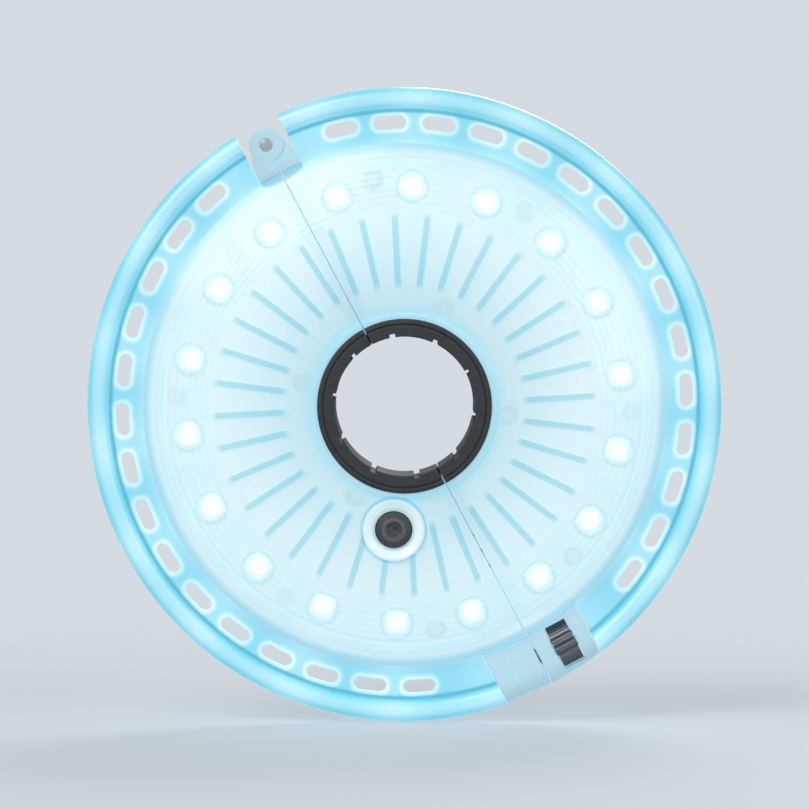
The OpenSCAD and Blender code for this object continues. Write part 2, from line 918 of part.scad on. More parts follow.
module tact_switch() {
    color([0.15, 0.15, 0.16]) in_row_frame() at(button_c, button_angle) difference() {
        centred_box(switch_w, switch_w, board_top, switch_top);
        post(plunger_r + plunger_fit, switch_top - plunger_in - button_travel - plunger_fit, switch_top + 1);
    }
}

module switch_plunger() {
    color("ivory") in_row_frame() at(button_c, button_angle)
        post(plunger_r, switch_top - plunger_in, stem_end);
}

module mode_button() {
    color(rubber_colour) in_row_frame() at(button_c, button_angle) {
        difference() {
            intersection() {
                post(button_r, flange_top - flange_t, bezel_top);
                translate([0, 0, bezel_top - 3 * button_r]) sphere(r = 3 * button_r);
            }
            translate([0, 0, bezel_top + 1.1 * button_r - dish_t]) sphere(r = 1.1 * button_r);
        }
        post(button_flange, flange_top - flange_t, flange_top);
        post(plunger_r, stem_end, flange_top - flange_t / 2);
    }
}

module button_seal() {
    color([0.3, 0.32, 0.34]) in_row_frame() at(button_c, button_angle) difference() {
        post(bezel_r - clearance, flange_top, bezel_under);
        post(button_r + clearance, flange_top - 1, bezel_under + 1);
    }
}

module charge_socket() {
    color(steel_colour) in_row_frame() at(port_c, port_angle) {
        difference() {
            stadium(socket_w, socket_h, socket_end, board_under);
            stadium(socket_w - 2 * socket_wall, socket_h - 2 * socket_wall,
                    socket_end - 1, socket_end + socket_open_t);
        }
        centred_box(socket_w - socket_h, 2 * socket_wall, socket_end + 1.6 * tongue_t, board_under);
    }
}

// Cap with its tongue in the socket's mouth and its barrel on the pin
module charge_cap() {
    tongue_w = socket_w - 2 * socket_wall - 2 * tongue_fit;
    tongue_h = socket_h - 2 * socket_wall - 2 * tongue_fit;
    cap_in = -half_depth + cap_t;
    color(rubber_colour) in_row_frame() at(port_c, port_angle) difference() {
        union() {
            rounded_box(cap_w, cap_h, cap_corner, -half_depth, cap_in);
            stadium(tongue_w, tongue_h, cap_in - eps, socket_end + tongue_t);
            translate([0, cap_axis / 2, 0]) centred_box(cap_barrel_l, cap_axis, -half_depth, cap_in);
            translate([-cap_barrel_l / 2, cap_axis, cap_axis_z]) rotate([0, 90, 0])
                cylinder(r = cap_barrel_r, h = cap_barrel_l);
        }
        cap_pin_shape(0.05);
        thumb_scoop();
    }
}

// Hollow at the cap's outer edge for a fingernail
module thumb_scoop() {
    translate([0, -cap_h / 2 - 0.6, -half_depth - 0.6]) rotate([0, 90, 0])
        translate([0, 0, -cap_w / 6]) cylinder(r = 1.4, h = cap_w / 3);
}

module charge_cap_pin() {
    color(steel_colour) in_row_frame() at(port_c, port_angle) cap_pin_shape(0);
}

// Contacts that carry power across the parting line

module contact_row(r, from, to) {
    for (i = [0 : contact_count - 1])
        translate([from, -contact_c + (i - (contact_count - 1) / 2) * contact_pitch, contact_z])
            rotate([0, 90, 0]) cylinder(r = r, h = to - from);
}

module contact_block() {
    block_w = (contact_count + 1) * contact_pitch;
    translate([-inset - wall - clearance - block_t, -contact_c - block_w / 2, contact_z - 2])
        cube([block_t, block_w, board_under - contact_z + 2]);
}

module contact_block_a() {
    color([0.12, 0.12, 0.13]) in_row_frame() difference() {
        contact_block();
        contact_row(contact_r, -inset - wall - block_t / 2, 0);
    }
}

module spring_contacts() {
    color(brass_colour) in_row_frame()
        contact_row(contact_r, -inset - wall - block_t / 2, inset - contact_gap);
}

module contact_block_b() {
    color([0.12, 0.12, 0.13]) in_row_frame() difference() {
        mirrored() contact_block();
        contact_row(pad_r, 0, inset + wall + block_t / 2);
    }
}

module contact_pads() {
    color(brass_colour) in_row_frame() contact_row(pad_r, inset, inset + wall + block_t / 2);
}

// Hinge pin and clamp screw

module hinge_pin() {
    color(steel_colour) in_row_frame() translate([0, hinge_c, 0])
        intersection() {
            post(pin_r, -barrel_l / 2, barrel_l / 2);
            sphere(r = barrel_l / 2);
        }
}

module clamp_insert() {
    color(brass_colour) in_row_frame() difference() {
        along_stud(insert_r, insert_x, -inset - stud_fit);
        along_stud(stud_r + stud_fit, insert_x - 1, 0);
    }
}

module clamp_stud() {
    color(steel_colour) in_row_frame()
        along_stud(stud_r, stud_tip, window_x + window_l + journal);
}

module thumb_wheel() {
    color("dimgray") in_row_frame() difference() {
        along_stud(wheel_r, window_x + clearance, window_x + clearance + wheel_w);
        along_stud(stud_r, window_x, window_x + window_l);
        translate([window_x, -stud_c, 0]) rotate([0, 90, 0])
            for (i = [0 : flute_count - 1])
                rotate([0, 0, i * 360 / flute_count]) translate([wheel_r, 0, 0])
                    cylinder(r = flute_r, h = window_l);
    }
}

front_lens_a();
front_lens_b();
rear_shell_a();
rear_shell_b();
rim_plate_a();
rim_plate_b();
lens_seals_a();
lens_seals_b();
hub_pad_a();
hub_pad_b();
led_board_a();
led_board_b();
leds_a();
leds_b();
battery_cell_a();
battery_cell_b();
battery_foam_a();
battery_foam_b();
battery_leads_a();
battery_leads_b();
shell_screws_a();
shell_screws_b();
controller_chip();
motion_switch();
tact_switch();
switch_plunger();
mode_button();
button_seal();
charge_socket();
charge_cap();
charge_cap_pin();
contact_block_a();
spring_contacts();
contact_block_b();
contact_pads();
hinge_pin();
clamp_insert();
clamp_stud();
thumb_wheel();
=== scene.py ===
"""Looks of a disc light that clamps round a bicycle hub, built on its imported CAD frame.

Sizes are in millimetres of the flat drawing: the front faces up, the parting line runs along Y and the
first half lies at -X. Row.place() stands that drawing up in the shared frame, in metres.
"""
import logging
import math
from dataclasses import dataclass
from enum import Enum
from typing import Any, Union

import bpy
import numpy as np
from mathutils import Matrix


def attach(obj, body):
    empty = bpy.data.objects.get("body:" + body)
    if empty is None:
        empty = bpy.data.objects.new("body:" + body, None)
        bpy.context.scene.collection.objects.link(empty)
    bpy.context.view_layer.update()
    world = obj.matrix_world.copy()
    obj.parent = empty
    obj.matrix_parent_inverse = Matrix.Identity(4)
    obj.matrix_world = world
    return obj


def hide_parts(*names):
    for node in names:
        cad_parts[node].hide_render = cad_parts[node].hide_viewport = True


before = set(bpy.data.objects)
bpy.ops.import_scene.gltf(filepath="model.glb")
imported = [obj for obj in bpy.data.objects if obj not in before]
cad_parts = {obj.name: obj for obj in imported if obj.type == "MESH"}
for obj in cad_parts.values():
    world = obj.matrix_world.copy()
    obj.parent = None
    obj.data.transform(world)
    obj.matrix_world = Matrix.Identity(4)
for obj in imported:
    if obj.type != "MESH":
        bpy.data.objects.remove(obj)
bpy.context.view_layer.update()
LOG = logging.getLogger("wheel_light")
MM = 0.001
Number = Union[int, float]
Colour = tuple[float, float, float]
Span = tuple[float, float]
BLACK: Colour = (0.0, 0.0, 0.0)
SHARP_ANGLE = math.radians(40)


class Half(Enum):
    """The two halves of the disc, with the sign of X that each lies at."""

    FIXED = -1
    SWING = 1

    @property
    def letter(self) -> str:
        """Suffix of the half's nodes."""
        return "a" if self is Half.FIXED else "b"

    @property
    def body(self) -> str:
        """CAD body that the half's pieces ride on."""
        return "fixed_half" if self is Half.FIXED else "swing_half"


class Grain(Enum):
    """How a metal surface was finished."""

    TURNED = "turned"
    DRAWN = "drawn"
    BLASTED = "blasted"


@dataclass(frozen=True)
class Row:
    """Sizes that the pieces share with the CAD model, and the way from the drawing to the row frame."""

    lean: float = 28.0
    lens_r: float = 60.5
    hub_collar_r: float = 21.0
    bead_inner_r: float = 68.3
    bead_c: float = 70.9
    bead_r: float = 2.6
    slot_c: float = 65.4
    slot_w: float = 3.2
    slot_l: float = 7.6
    slot_step: float = 10.0
    slot_span: Span = (20.0, 170.0)
    led_c: float = 50.5
    led_step: float = 20.0
    led_count: int = 9
    rib_step: float = 10.0
    rib_in: float = 26.75
    rib_out: float = 44.75
    board_top: float = -1.4
    button_c: float = 28.6
    button_angle: float = 33.0
    button_r: float = 4.0
    bezel_r: float = 7.3
    lenslet_r: float = 3.6

    def place(self, points: np.ndarray) -> np.ndarray:
        """Turns drawing points by the lean and stands them up, front towards -Y.

        Args:
            points: Drawing points in millimetres, shape (n, 3).

        Returns:
            The same points in the row frame, in metres.
        """
        lean = math.radians(self.lean)
        x = points[:, 0] * math.cos(lean) - points[:, 1] * math.sin(lean)
        y = points[:, 0] * math.sin(lean) + points[:, 1] * math.cos(lean)
        return np.stack([x, -points[:, 2], y], axis=1) * MM


ROW = Row()


@dataclass
class Shape:
    """Vertices of the drawing, in millimetres, and the faces between them."""

    points: np.ndarray
    faces: list[list[int]]

    def at(self, radius: float, angle: float, height: float, half: Half) -> "Shape":
        """Copies the shape to a polar place on one half.

        Args:
            radius: Distance from the axle.
            angle: Degrees from the clamp end towards the half's own side.
            height: Level of the shape's zero.
            half: Half of the disc to put it on.

        Returns:
            The moved copy. The swinging half's copy is mirrored by turning it the other way.
        """
        turn = math.radians(angle) * half.value
        x = self.points[:, 0]
        y = self.points[:, 1] - radius
        moved = np.stack([x * math.cos(turn) - y * math.sin(turn), x * math.sin(turn) + y * math.cos(turn),
                          self.points[:, 2] + height], axis=1)
        return Shape(moved, self.faces)

    def along_x(self, start: float, y: float, z: float) -> "Shape":
        """Lays the shape's Z axis along the drawing's X.

        Args:
            start: X of the shape's zero.
            y: Y of its axis.
            z: Height of its axis.

        Returns:
            The turned copy.
        """
        p = self.points
        return Shape(np.stack([p[:, 2] + start, p[:, 1] + y, -p[:, 0] + z], axis=1), self.faces)


def joined(shapes: list[Shape]) -> Shape:
    """Puts several shapes into one, with the faces renumbered.

    Args:
        shapes: The shapes to join.

    Returns:
        One shape that holds them all.
    """
    starts = np.cumsum([0] + [len(s.points) for s in shapes[:-1]])
    faces = [[i + int(start) for i in face] for s, start in zip(shapes, starts) for face in s.faces]
    return Shape(np.concatenate([s.points for s in shapes]), faces)


def tube_grid(points: np.ndarray) -> Shape:
    """Closes a grid of rings into a solid: quads between the rings and one cap at each end.

    Args:
        points: Grid of shape (rings, sides, 3), each ring anticlockwise seen from the last ring's end.

    Returns:
        The closed shape.
    """
    rings, sides, _ = points.shape
    index = np.arange(rings * sides).reshape(rings, sides)
    right = np.roll(index, -1, axis=1)
    quads = np.stack([index[:-1], right[:-1], right[1:], index[1:]], axis=-1).reshape(-1, 4)
    faces = quads.tolist() + [index[0, ::-1].tolist(), index[-1].tolist()]
    return Shape(points.reshape(-1, 3), faces)


def revolved(profile: list[tuple[float, float]], sides: int = 32) -> Shape:
    """Turns a profile of (radius, height) pairs about Z: x = r cos u, y = r sin u, z = h.

    Args:
        profile: Radius and height of each ring, from the bottom up.
        sides: Points on each ring.

    Returns:
        The closed solid of revolution.
    """
    rings = np.array(profile)
    turn = np.linspace(0, 2 * math.pi, sides, endpoint=False)
    radius, height = rings[:, :1], rings[:, 1:]
    grid = np.stack([radius * np.cos(turn), radius * np.sin(turn), height + 0 * turn], axis=-1)
    return tube_grid(grid)


def block(width: float, depth: float, height: float, softness: float = 0.3, sides: int = 16) -> Shape:
    """Superellipse block: the rim is |x/a|^n + |y/b|^n = 1, drawn in a little at the top and bottom rings.

    Args:
        width: Size along X.
        depth: Size along Y.
        height: Size along Z, from zero up.
        softness: Exponent of the rim's rounding; smaller is squarer.
        sides: Points on each ring.

    Returns:
        The closed block.
    """
    turn = np.linspace(0, 2 * math.pi, sides, endpoint=False) + math.pi / sides
    rim_x = np.sign(np.cos(turn)) * np.abs(np.cos(turn)) ** softness * width / 2
    rim_y = np.sign(np.sin(turn)) * np.abs(np.sin(turn)) ** softness * depth / 2
    inset = np.array([0.97, 1.0, 1.0, 0.9])[:, None]
    level = np.array([0.0, 0.06, 0.85, 1.0])[:, None] * height
    grid = np.stack([inset * rim_x, inset * rim_y, level + 0 * turn], axis=-1)
    return tube_grid(grid)


def built(name: str, shape: Shape, finish: "Finish", body: str) -> bpy.types.Object:
    """Makes a shape into a smooth object in the row frame that rides on a CAD body.

    Args:
        name: Name of the piece.
        shape: Its drawing shape.
        finish: Its surface.
        body: CAD body that it moves with.

    Returns:
        The new object.
    """
    mesh = bpy.data.meshes.new(name)
    mesh.from_pydata(ROW.place(shape.points).tolist(), [], shape.faces)
    mesh.polygons.foreach_set("use_smooth", np.ones(len(mesh.polygons), dtype=bool))
    mesh.set_sharp_from_angle(angle=SHARP_ANGLE)
    mesh.materials.append(finish.material())
    mesh.validate()
    piece = bpy.data.objects.new(name, mesh)
    bpy.context.scene.collection.objects.link(piece)
    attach(piece, body)
    LOG.info("piece %s: %d faces on %s", name, len(mesh.polygons), body)
    return piece


def stand(name: str, data: bpy.types.ID, place: tuple[float, float, float]) -> bpy.types.Object:
    """Puts a lamp or camera at a place, pointing at the origin.

    Args:
        name: Name of the object.
        data: Its lamp or camera.
        place: Where it stands, in metres.

    Returns:
        The new object.
    """
    holder = bpy.data.objects.new(name, data)
    holder.location = place
    holder.rotation_euler = (-holder.location).to_track_quat("-Z", "Y").to_euler()
    bpy.context.scene.collection.objects.link(holder)
    return holder


def dressed(finish: "Finish", *nodes: str) -> None:
    """Gives CAD nodes a finish, in every material slot that they have.

    Args:
        finish: The surface to give.
        nodes: Names of the nodes.
    """
    for node in nodes:
        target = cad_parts[node]
        if not target.material_slots:
            target.data.materials.append(None)
        for place in target.material_slots:
            place.material = finish.material()
        LOG.info("node %s: %s", node, finish.name)


class Value:
    """One shader socket with arithmetic: an expression on values adds its Math nodes."""

    def __init__(self, net: "Net", socket: bpy.types.NodeSocket) -> None:
        """Keeps the socket and the net that it belongs to."""
        self.net = net
        self.socket = socket

    def math(self, operation: str, *others: Union["Value", Number]) -> "Value":
        """Adds a Math node with this value first.

        Args:
            operation: Name of the Math node's operation.
            others: Its further inputs.

        Returns:
            The node's output.
        """
        inputs = dict(enumerate((self,) + others))
        return self.net.take("ShaderNodeMath", "Value", {"operation": operation}, inputs)

    def flipped(self, operation: str, first: Number) -> "Value":
        """Adds a Math node with a number first and this value second."""
        return self.net.take("ShaderNodeMath", "Value", {"operation": operation}, {0: first, 1: self})

    def __add__(self, other: Union["Value", Number]) -> "Value":
        """Sum."""
        return self.math("ADD", other)

    def __radd__(self, other: Number) -> "Value":
        """Sum with a number first."""
        return self.math("ADD", other)

    def __sub__(self, other: Union["Value", Number]) -> "Value":
        """Difference."""
        return self.math("SUBTRACT", other)

    def __rsub__(self, other: Number) -> "Value":
        """Difference with a number first."""
        return self.flipped("SUBTRACT", other)

    def __mul__(self, other: Union["Value", Number]) -> "Value":
        """Product."""
        return self.math("MULTIPLY", other)

    def __rmul__(self, other: Number) -> "Value":
        """Product with a number first."""
        return self.math("MULTIPLY", other)

    def __truediv__(self, other: Union["Value", Number]) -> "Value":
        """Quotient."""
        return self.math("DIVIDE", other)

    def __pow__(self, other: Number) -> "Value":
        """Power."""
        return self.math("POWER", other)

    def root(self) -> "Value":
        """Square root."""
        return self.math("SQRT")

    def size(self) -> "Value":
        """Absolute value."""
        return self.math("ABSOLUTE")

    def sine(self) -> "Value":
        """Sine of an angle in radians."""
        return self.math("SINE")

    def part(self) -> "Value":
        """Part after the decimal point, from 0 to 1."""
        return self.math("FRACT")

    def floor_at(self, low: Number) -> "Value":
        """The larger of this value and a number."""
        return self.math("MAXIMUM", low)

    def capped(self, high: Number) -> "Value":
        """The smaller of this value and a number."""
        return self.math("MINIMUM", high)

    def unit(self) -> "Value":
        """This value kept between 0 and 1."""
        return self.capped(1.0).floor_at(0.0)

    def ramp(self, low: Number, high: Number) -> "Value":
        """Smooth step: 0 at low and 1 at high, either way round."""
        return self.net.take("ShaderNodeMapRange", "Result", {"interpolation_type": "SMOOTHSTEP"},
                             {"Value": self, "From Min": low, "From Max": high})

    def bell(self, width: Number) -> "Value":
        """Bell curve exp(-(v / width)^2) of this distance."""
        return ((self / width) ** 2.0 * -1.0).flipped("POWER", math.e)


class Net:
    """Node tree of one material, with one method that adds any node."""

    def __init__(self, name: str) -> None:
        """Makes an empty material.

        Args:
            name: Name of the material.
        """
        self.material = bpy.data.materials.new(name)
        self.material.use_nodes = True
        self.tree = self.material.node_tree
        self.tree.nodes.clear()

    @classmethod
    def of_tree(cls, tree: bpy.types.NodeTree) -> "Net":
        """Wraps a tree that is there already, such as the world's.

        Args:
            tree: The tree to add nodes to.

        Returns:
            A net without a material of its own.
        """
        net = cls.__new__(cls)
        net.material, net.tree = None, tree
        return net

    def node(self, kind: str, settings: dict[str, Any] | None = None,
             inputs: dict[Any, Any] | None = None) -> bpy.types.Node:
        """Adds a node, sets its options, then its sockets.

        Args:
            kind: Type of the node.
            settings: Options by name.
            inputs: Socket name or index to a value, colour or Value.

        Returns:
            The node.
        """
        made = self.tree.nodes.new(kind)
        for key, setting in (settings or {}).items():
            setattr(made, key, setting)
        for key, given in (inputs or {}).items():
            socket = made.inputs[key]
            if isinstance(given, Value):
                self.tree.links.new(given.socket, socket)
            elif isinstance(given, tuple) and len(given) == 3 and len(socket.default_value) == 4:
                socket.default_value = given + (1.0,)
            else:
                socket.default_value = given
        return made

    def take(self, kind: str, output: Any, settings: dict[str, Any] | None = None,
             inputs: dict[Any, Any] | None = None) -> Value:
        """Adds a node and returns one of its outputs."""
        return Value(self, self.node(kind, settings, inputs).outputs[output])

    def mix(self, factor: Union[Value, Number], first: Any, second: Any) -> Value:
        """Mixes two colours.

        Args:
            factor: 0 for the first colour, 1 for the second.
            first: Colour or Value.
            second: Colour or Value.

        Returns:
            The mixed colour.
        """
        return self.take("ShaderNodeMix", 2, {"data_type": "RGBA"},
                         {0: factor, 6: first, 7: second})

    def place(self) -> Value:
        """Object coordinates, in metres."""
        return self.take("ShaderNodeTexCoord", "Object")

    def noise(self, scale: Number, detail: Number = 3.0, roughness: Number = 0.5) -> Value:
        """Noise on Object coordinates; the scale is in cells per metre."""
        inputs = {"Vector": self.place(), "Scale": scale, "Detail": detail, "Roughness": roughness}
        return self.take("ShaderNodeTexNoise", 0, None, inputs)

    def bump(self, height: Value, strength: Number, distance: Number, normal: Value | None = None) -> Value:
        """Tilts the normal by the slope of a height.

        Args:
            height: Height of the marks, from 0 to 1.
            strength: Share of the slope that is used.
            distance: Metres that a height of 1 stands for.
            normal: Normal to start from, where it isn't the mesh's own.

        Returns:
            The tilted normal.
        """
        inputs = {"Height": height, "Strength": strength, "Distance": distance}
        if normal is not None:
            inputs["Normal"] = normal
        return self.take("ShaderNodeBump", "Normal", None, inputs)

    def edges(self, radius: float) -> tuple[Value, Value]:
        """Softens the edges of a sharp mesh.

        Args:
            radius: Radius of the softened edge in millimetres.

        Returns:
            The softened normal, and a mask that is 1 along the edges, where it leaves the flat normal.
        """
        soft = self.take("ShaderNodeBevel", "Normal", {"samples": 5}, {"Radius": radius * MM})
        flat = self.take("ShaderNodeNewGeometry", "Normal")
        agree = self.take("ShaderNodeVectorMath", "Value", {"operation": "DOT_PRODUCT"}, {0: soft, 1: flat})
        return soft, (1.0 - agree).ramp(0.01, 0.20)

    def button_offset(self) -> tuple[Value, Value, Value]:
        """Measures from the button's axis.

        Returns:
            Millimetres across, up and away from the axis.
        """
        angle = math.radians(ROW.button_angle) * Half.FIXED.value
        drawn = np.array([[math.sin(angle), -math.cos(angle), 0.0]]) * ROW.button_c
        centre = ROW.place(drawn)[0]
        offset = self.take("ShaderNodeVectorMath", "Vector", {"operation": "SUBTRACT"},
                           {0: self.place(), 1: tuple(float(v) for v in centre)})
        split = self.node("ShaderNodeSeparateXYZ", None, {0: offset})
        x, z = Value(self, split.outputs["X"]) * 1000.0, Value(self, split.outputs["Z"]) * 1000.0
        return x, z, (x * x + z * z).root()

    def polar(self) -> tuple[Value, Value]:
        """Measures from the axle.

        Returns:
            The radius in millimetres, and the degrees round the axle from the clamp end.
        """
        split = self.node("ShaderNodeSeparateXYZ", None, {0: self.place()})
        x, z = Value(self, split.outputs["X"]), Value(self, split.outputs["Z"])
        radius = (x * x + z * z).root() * 1000.0
        turn = x.math("ARCTAN2", z * -1.0) * (180.0 / math.pi) - ROW.lean
        return radius, turn

    def depth(self) -> Value:
        """Millimetres towards the front from the rim's mid plane."""
        split = self.node("ShaderNodeSeparateXYZ", None, {0: self.place()})
        return Value(self, split.outputs["Y"]) * -1000.0

    def beside(self, radius: Value, turn: Value, step: float) -> Value:
        """Arc distance in millimetres to the nearest of a ring of marks, half a step off the clamp end."""
        return ((turn / step).part() - 0.5).size() * radius * (step * math.pi / 180.0)

    def within(self, turn: Value, span: Span) -> Value:
        """1 where the angle from the clamp end, on either half, is inside a span of degrees."""
        folded = ((turn / 360.0 + 0.5).part() - 0.5).size() * 360.0
        return folded.ramp(span[0] - 0.5, span[0] + 0.5) * folded.ramp(span[1] + 0.5, span[1] - 0.5)

    def surface(self, constants: dict[str, Any], linked: dict[str, Value]) -> bpy.types.Material:
        """Ends the net in one Principled shader.

        Args:
            constants: Sockets that are the same all over.
            linked: Sockets that change over the surface.

        Returns:
            The finished material.
        """
        shader = self.take("ShaderNodeBsdfPrincipled", "BSDF", None, {**constants, **linked})
        self.node("ShaderNodeOutputMaterial", None, {"Surface": shader})
        return self.material


@dataclass(frozen=True)
class Finish:
    """A surface that is made into a material once and then shared."""

    name: str

    def material(self) -> bpy.types.Material:
        """Returns the finish's material, making it the first time."""
        return bpy.data.materials.get(self.name) or self.make(Net(self.name))

    def make(self, net: Net) -> bpy.types.Material:
        """Fills the net; each finish has its own way."""
        raise NotImplementedError


@dataclass(frozen=True)
class LitLens(Finish):
    """Clear dome lit from inside: white over the LEDs, cyan towards the edges and along the ribs."""

    cool: Colour = (0.30, 0.80, 1.0)
    hot: Colour = (0.92, 1.0, 1.0)
    glow: float = 0.66
    alpha: float = 0.64
    spot_r: float = 3.4
    ring_w: float = 12.0
    prism_pitch: float = 1.5
    prism_start: Span = (44.5, 46.0)

    def make(self, net: Net) -> bpy.types.Material:
        """Adds up the painted light of the LED ring, the hub end and the ribs, drops it at the edges, and
        paints shade round the bezel and the button.

        Args:
            net: Empty net of the material.

        Returns:
            The finished material.
        """
        radius, turn = net.polar()
        across = radius - ROW.led_c
        along = net.beside(radius, turn, ROW.led_step)
        from_led = (across * across + along * along).root()
        spot = from_led.bell(self.spot_r)
        lenslet = (from_led - ROW.lenslet_r).bell(0.45)
        ring = across.bell(self.ring_w)
        from_button = net.button_offset()[2]
        bezel = from_button.ramp(ROW.bezel_r + 0.1, ROW.bezel_r - 0.3)
        # Painted shade: a dim ring along the bezel's edge and a darker one round the button.
        bezel_and_button_shade = (from_button - ROW.bezel_r).bell(0.40) + (from_button - ROW.button_r).bell(0.8) * 0.8
        rib_ends = radius.ramp(ROW.rib_in, ROW.rib_in + 2) * radius.ramp(ROW.rib_out, ROW.rib_out - 2)
        rib = net.beside(radius, turn, ROW.rib_step).ramp(0.85, 0.55) * rib_ends * (1 - bezel)
        edge = radius.ramp(ROW.lens_r - 2.6, ROW.lens_r - 0.4)
        inner = radius.ramp(ROW.hub_collar_r + 4.0, ROW.hub_collar_r)
        fall = radius.ramp(ROW.rib_out, ROW.hub_collar_r) * (1 - bezel)
        wave = (radius * (2 * math.pi / self.prism_pitch)).sine() * 0.5 + 0.5
        prism = wave * radius.ramp(*self.prism_start) * (1 - edge)
        cloud = net.noise(38, 2.0)
        # Drops in the painted glow: lens edge, hub end, fall towards the hub, ribs, prism rings, lenslet
        # rings and the painted shade round the bezel and button.
        light_dips = (edge * 0.58 + inner * 0.30 + fall * 0.22 + rib * 0.55 + prism * 0.14 + lenslet * 0.26
                 + bezel_and_button_shade * 0.55)
        white = (0.84 - ring * 0.06 + spot * 0.18 + cloud * 0.16 - light_dips).unit()
        light = net.mix(white, self.cool, self.hot)
        shade = (0.78 + spot * 0.14 + bezel * 0.02 - fall * 0.14 - edge * 0.18 - rib * 0.14
                 - lenslet * 0.06 - bezel_and_button_shade * 0.2).unit()
        emission = net.mix(shade, BLACK, light)
        wear = net.noise(900, 4.0, 0.6)
        rough = 0.10 + wear * 0.12 + edge * 0.10
        opaque = (self.alpha + edge * 0.25 + inner * 0.2 + bezel * 0.4 - spot * 0.12).capped(1.0)
        height = prism * 0.6 + wear * 0.25
        # The base colour follows the painted glow too, paler where it is brighter.
        return net.surface({"IOR": 1.58, "Emission Strength": self.glow, "Coat Weight": 0.25,
                            "Coat Roughness": 0.05},
                           {"Base Color": net.mix(white, (0.26, 0.56, 0.66), (0.54, 0.62, 0.65)),
                            "Emission Color": emission, "Roughness": rough, "Alpha": opaque,
                            "Normal": net.bump(height, 0.25, 0.0002)})


@dataclass(frozen=True)
class LitRim(Finish):
    """Edge-lit light guide: bright bead and slot edges, cyan land between them."""

    cool: Colour = (0.14, 0.76, 1.0)
    hot: Colour = (0.86, 1.0, 1.0)
    glow: float = 0.74
    fed_w: float = 6.5

    def make(self, net: Net) -> bpy.types.Material:
        """Measures the distance to the nearest slot and to the bead, lights the edges, and paints a shadow
        line in the gap just inside the bead.

        Args:
            net: Empty net of the material.

        Returns:
            The finished material.
        """
        radius, turn = net.polar()
        along = (net.beside(radius, turn, ROW.slot_step) - (ROW.slot_l - ROW.slot_w) / 2).floor_at(0.0)
        across = radius - ROW.slot_c
        slot = ((along * along + across * across).root() - ROW.slot_w / 2).floor_at(0.0)
        lip = (slot - 0.4).bell(0.6) * net.within(turn, ROW.slot_span)
        bead = radius.ramp(ROW.bead_inner_r - 0.1, ROW.bead_inner_r + 0.8)
        core = ((radius - ROW.bead_c).size() / ROW.bead_r).ramp(1.0, 0.15)
        # Painted shadow: a dark line in the gap just inside the bead.
        line = (radius - ROW.bead_inner_r + 0.25).bell(0.45)
        under = radius.ramp(ROW.lens_r + 2.4, ROW.lens_r - 0.2)
        cloud = net.noise(60, 2.0)
        fed = net.beside(radius, turn, ROW.led_step).bell(self.fed_w) * (1 - line)
        white = (0.16 + fed * 0.16 + core * 0.32 + lip * 0.42 + under * 0.15 + cloud * 0.20
                 - line * 0.60 - bead * 0.16).unit()
        light = net.mix(white, self.cool, self.hot)
        shade = (0.64 + fed * 0.08 + core * 0.16 + lip * 0.15 - line * 0.38 - bead * 0.06).unit()
        wear = net.noise(1100, 3.0, 0.6)
        # The base colour follows the painted glow and the painted shadow line too.
        return net.surface({"IOR": 1.49, "Emission Strength": self.glow, "Coat Weight": 0.3,
                            "Coat Roughness": 0.04},
                           {"Base Color": net.mix(white, (0.12, 0.46, 0.58), (0.44, 0.56, 0.60)),
                            "Emission Color": net.mix(shade, BLACK, light),
                            "Roughness": 0.08 + wear * 0.14, "Alpha": 0.80 + bead * 0.15 + lip * 0.05,
                            "Normal": net.bump(wear, 0.12, 0.0001)})


@dataclass(frozen=True)
class MouldedShell(Finish):
    """Milky moulded plastic with a spark-eroded texture, a painted glow inside, at its edges and in the
    back's flutes and rings, and painted shade in these flutes and rings.
    """

    flute_span: Span = (48.9, 58.6)
    ring_at: Span = (29.5, 32.25)
    colour: Colour = (0.66, 0.78, 0.83)
    glow_colour: Colour = (0.34, 0.80, 1.0)
    glow: float = 0.42

    def make(self, net: Net) -> bpy.types.Material:
        """Adds the texture and soft clouding, with painted glow near the LEDs, beyond the lens, along the
        edges and in the back's flutes and rings, and painted shade in the flutes and rings.

        Args:
            net: Empty net of the material.

        Returns:
            The finished material.
        """
        radius, turn = net.polar()
        soft, edge = net.edges(0.7)
        texture = net.noise(1500, 3.0, 0.7)
        cloud = net.noise(45, 3.0)
        near = (radius - ROW.led_c).bell(11.0)
        outside = radius.ramp(ROW.lens_r - 1.0, ROW.lens_r + 3.0)
        first, last = self.flute_span
        flute = net.beside(radius, turn, ROW.rib_step).ramp(0.80, 0.55) * radius.ramp(first, first + 0.5)
        rings = (radius - self.ring_at[0]).bell(0.5) + (radius - self.ring_at[1]).bell(0.5)
        # Flutes and rings on the back: painted glow in the emission and painted shade in the base colour.
        flute_glow_and_shade = (flute * radius.ramp(last, last - 0.5) + rings) * net.depth().ramp(-3.0, -4.5)
        # Painted glow: near the LEDs, beyond the lens, along the edges and in the flutes and rings.
        lit = (0.20 + near * 0.38 + outside * 0.42 + cloud * 0.20 + edge * 0.45 + flute_glow_and_shade * 0.45).capped(1.2)
        # Random mottle, with painted shade darkening the flutes and rings.
        mottle_and_flute_shade = (cloud * 0.4 + texture * 0.6) * (1 - flute_glow_and_shade * 0.8)
        pale = net.mix(mottle_and_flute_shade, tuple(c * 0.70 for c in self.colour), self.colour)
        return net.surface({"IOR": 1.5, "Emission Strength": self.glow},
                           {"Base Color": pale,
                            "Emission Color": net.mix(lit, (0.01, 0.06, 0.10), self.glow_colour),
                            "Roughness": 0.30 + texture * 0.26,
                            "Normal": net.bump(texture, 0.6, 0.0003, soft)})


